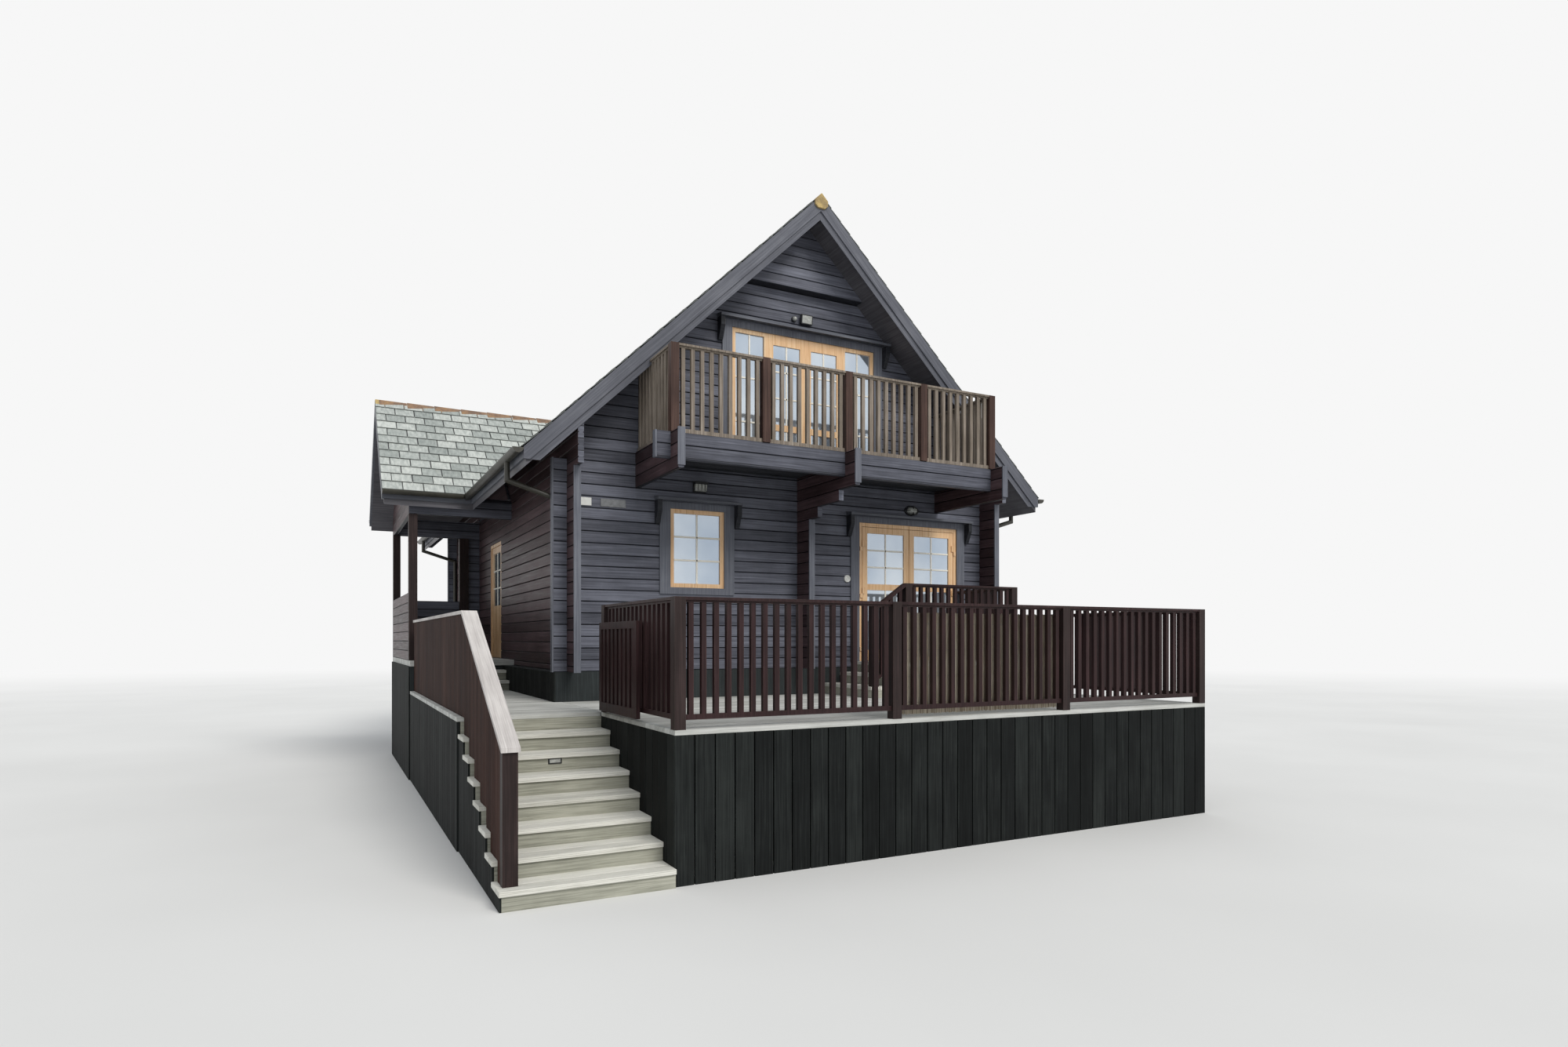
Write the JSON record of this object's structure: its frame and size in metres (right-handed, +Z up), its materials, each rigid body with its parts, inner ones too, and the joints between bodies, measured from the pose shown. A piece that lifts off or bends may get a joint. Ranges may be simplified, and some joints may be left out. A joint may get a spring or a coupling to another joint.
{
  "type": "holiday lodge",
  "caption": "Two-storey log holiday lodge with a slated gable roof, log balcony, side porch and a raised timber deck with stairs and a gate",
  "frame": {"origin": "centre of the footprint on the ground", "axes": "+X along the front from left to right, +Y in from the front, +Z up"},
  "size_m": [9.224, 14.242, 8.1068],
  "materials": {
    "stained_logs": "satin",
    "grey_boards": "satin",
    "dark_boards": "satin",
    "deck_timber": "matte",
    "floor_timber": "satin",
    "pale_timber": "matte",
    "red_brown_timber": "satin",
    "weathered_timber": "matte",
    "honey_wood": "satin",
    "slate": "matte",
    "clear_glass": "polished",
    "olive_metal": "satin",
    "steel": "satin",
    "reed": "matte",
    "lamp_plastic": "matte"
  },
  "bodies": {
    "root": {"back_wall": "stained_logs", "balcony_beams": "stained_logs", "balcony_fascia_logs": "stained_logs", "balcony_railings": "weathered_timber", "barge_boards": "grey_boards", "deck_boards": "deck_timber", "deck_frame": "deck_timber", "deck_railings": "red_brown_timber", "deck_skirt": "dark_boards", "downpipes": "olive_metal", "eaves_boards": "grey_boards", "entrance_frame": "honey_wood", "floors": "floor_timber", "front_wall_left": "stained_logs", "front_wall_over_doors": "stained_logs", "front_wall_right": "stained_logs", "gable_front": "stained_logs", "gate_hinge_eyes": "steel", "glazed_door_frame": "honey_wood", "guard_cap": "pale_timber", "gutters": "olive_metal", "lamps_and_plates": "lamp_plastic", "landing_guard_boards": "red_brown_timber", "left_roof_slope": "slate", "left_wall_back": "stained_logs", "left_wall_front": "stained_logs", "left_wall_over_door": "stained_logs", "plinth": "dark_boards", "porch_base": "dark_boards", "porch_beams": "stained_logs", "porch_gables": "stained_logs", "porch_log_walls": "stained_logs", "porch_roof_back": "slate", "porch_roof_front": "slate", "porch_steps": "deck_timber", "raised_landing": "deck_timber", "reed_screen": "reed", "ridge_tiles": "slate", "right_roof_slope": "slate", "right_wall": "stained_logs", "stair_guard_boards": "red_brown_timber", "stair_risers": "pale_timber", "stair_strings": "deck_timber", "stair_treads": "pale_timber", "stepped_log_corbel": "stained_logs", "timber_posts": "red_brown_timber", "trim_boards": "grey_boards", "upper_window_set": "honey_wood", "window_frames": "honey_wood", "window_glass": "clear_glass", "window_hoods": "grey_boards"},
    "gate_leaf": {"gate": "red_brown_timber"},
    "left_door_leaf": {"glazed_door_left": "honey_wood", "glazed_door_left_glass": "clear_glass"},
    "right_door_leaf": {"glazed_door_right": "honey_wood", "glazed_door_right_glass": "clear_glass"},
    "entrance_leaf": {"entrance_door": "honey_wood", "entrance_door_glass": "clear_glass"}
  },
  "joints": [
    {"name": "gate_hinge", "type": "hinge", "parent": "root", "child": "gate_leaf", "pos_m": [-2.814, -4.981, 1.345], "axis": [0, 0, -1], "range_deg": [0, 90]},
    {"name": "left_door_hinge", "type": "hinge", "parent": "root", "child": "left_door_leaf", "pos_m": [1.585, -3.248, 1.778], "axis": [0, 0, -1], "range_deg": [0, 90]},
    {"name": "right_door_hinge", "type": "hinge", "parent": "root", "child": "right_door_leaf", "pos_m": [3.262, -3.248, 1.778], "axis": [0, 0, 1], "range_deg": [0, 90]},
    {"name": "entrance_hinge", "type": "hinge", "parent": "root", "child": "entrance_leaf", "pos_m": [-2.655, 2.126, 1.778], "axis": [0, 0, 1], "range_deg": [0, 90]}
  ]
}
